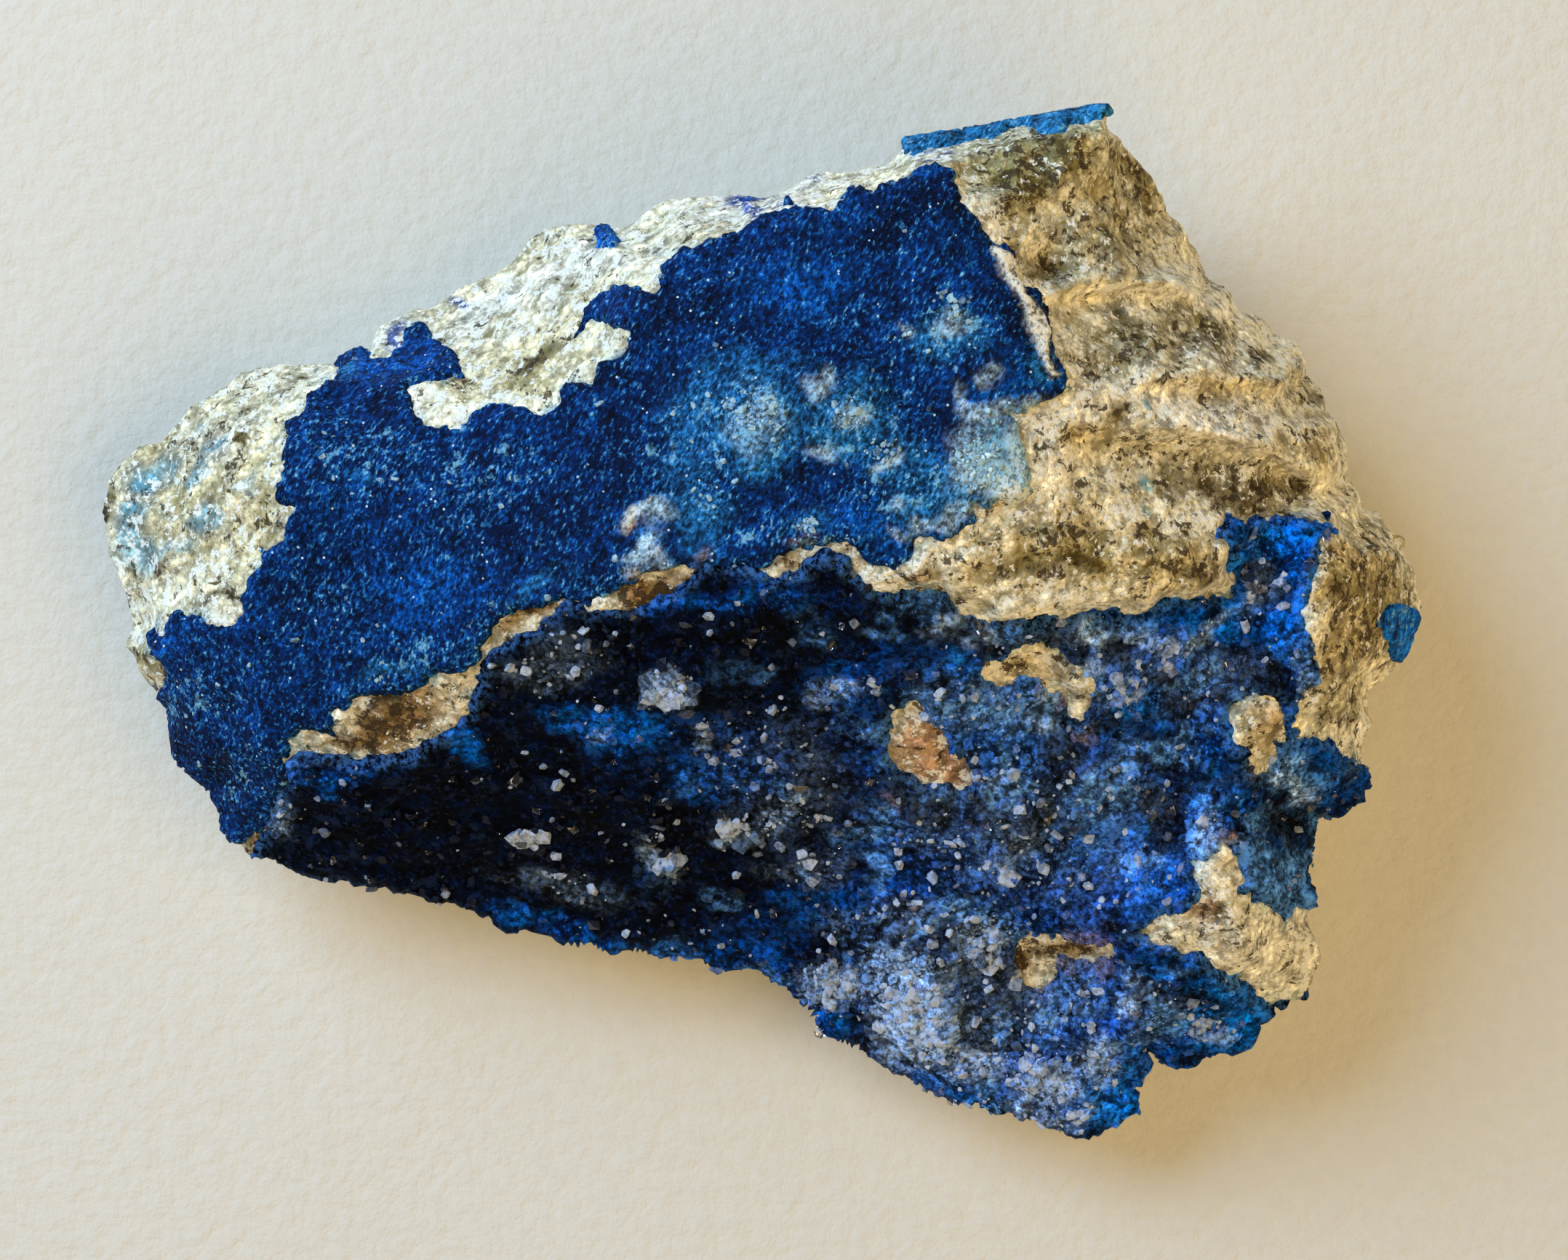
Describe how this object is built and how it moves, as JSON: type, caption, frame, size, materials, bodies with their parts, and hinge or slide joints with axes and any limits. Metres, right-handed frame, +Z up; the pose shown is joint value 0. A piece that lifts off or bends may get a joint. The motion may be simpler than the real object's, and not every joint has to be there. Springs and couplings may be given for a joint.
{
  "type": "mineral specimen",
  "caption": "Broken hand specimen of pale skarn rock with velvety blue kinoite crusts and small clear apophyllite crystals, lying on its flat underside.",
  "frame": {"origin": "on the ground plane, under the middle of the specimen's bounding box", "axes": "+Z up from the flat underside, +X along the specimen's length towards its thick end, +Y towards the bright flank"},
  "size_m": [0.0804, 0.0626, 0.0301],
  "materials": {
    "pale_skarn": "rough broken stone, cream with olive-brown stains",
    "kinoite_blue": "velvety deep blue crust of fine crystals",
    "apophyllite_clear": "clear to faintly lilac glassy crystals"
  },
  "bodies": {
    "root": {"matrix_rock": "pale_skarn", "kinoite_crust_upper": "kinoite_blue", "kinoite_crust_lower": "kinoite_blue", "kinoite_corner_vein": "kinoite_blue", "kinoite_end_patch": "kinoite_blue", "kinoite_flank_patch_middle": "kinoite_blue", "apophyllite_dome": "apophyllite_clear", "apophyllite_dome_east": "apophyllite_clear", "apophyllite_upper_east": "apophyllite_clear", "apophyllite_upper_north": "apophyllite_clear", "apophyllite_upper_rim": "apophyllite_clear", "apophyllite_plateau_edge": "apophyllite_clear", "apophyllite_ridge_west": "apophyllite_clear", "apophyllite_upper_south": "apophyllite_clear", "apophyllite_face_centre": "apophyllite_clear", "apophyllite_face_east": "apophyllite_clear", "apophyllite_face_middle": "apophyllite_clear", "apophyllite_face_low": "apophyllite_clear", "apophyllite_face_west": "apophyllite_clear", "apophyllite_face_flash": "apophyllite_clear", "apophyllite_below_lip": "apophyllite_clear", "apophyllite_round_grey": "apophyllite_clear", "apophyllite_niche_large": "apophyllite_clear", "apophyllite_niche_small": "apophyllite_clear", "apophyllite_south_white": "apophyllite_clear", "apophyllite_south_west": "apophyllite_clear", "apophyllite_south_tip": "apophyllite_clear", "apophyllite_south_middle": "apophyllite_clear", "apophyllite_corner_spike": "apophyllite_clear", "apophyllite_east_knob": "apophyllite_clear"}
  },
  "joints": []
}
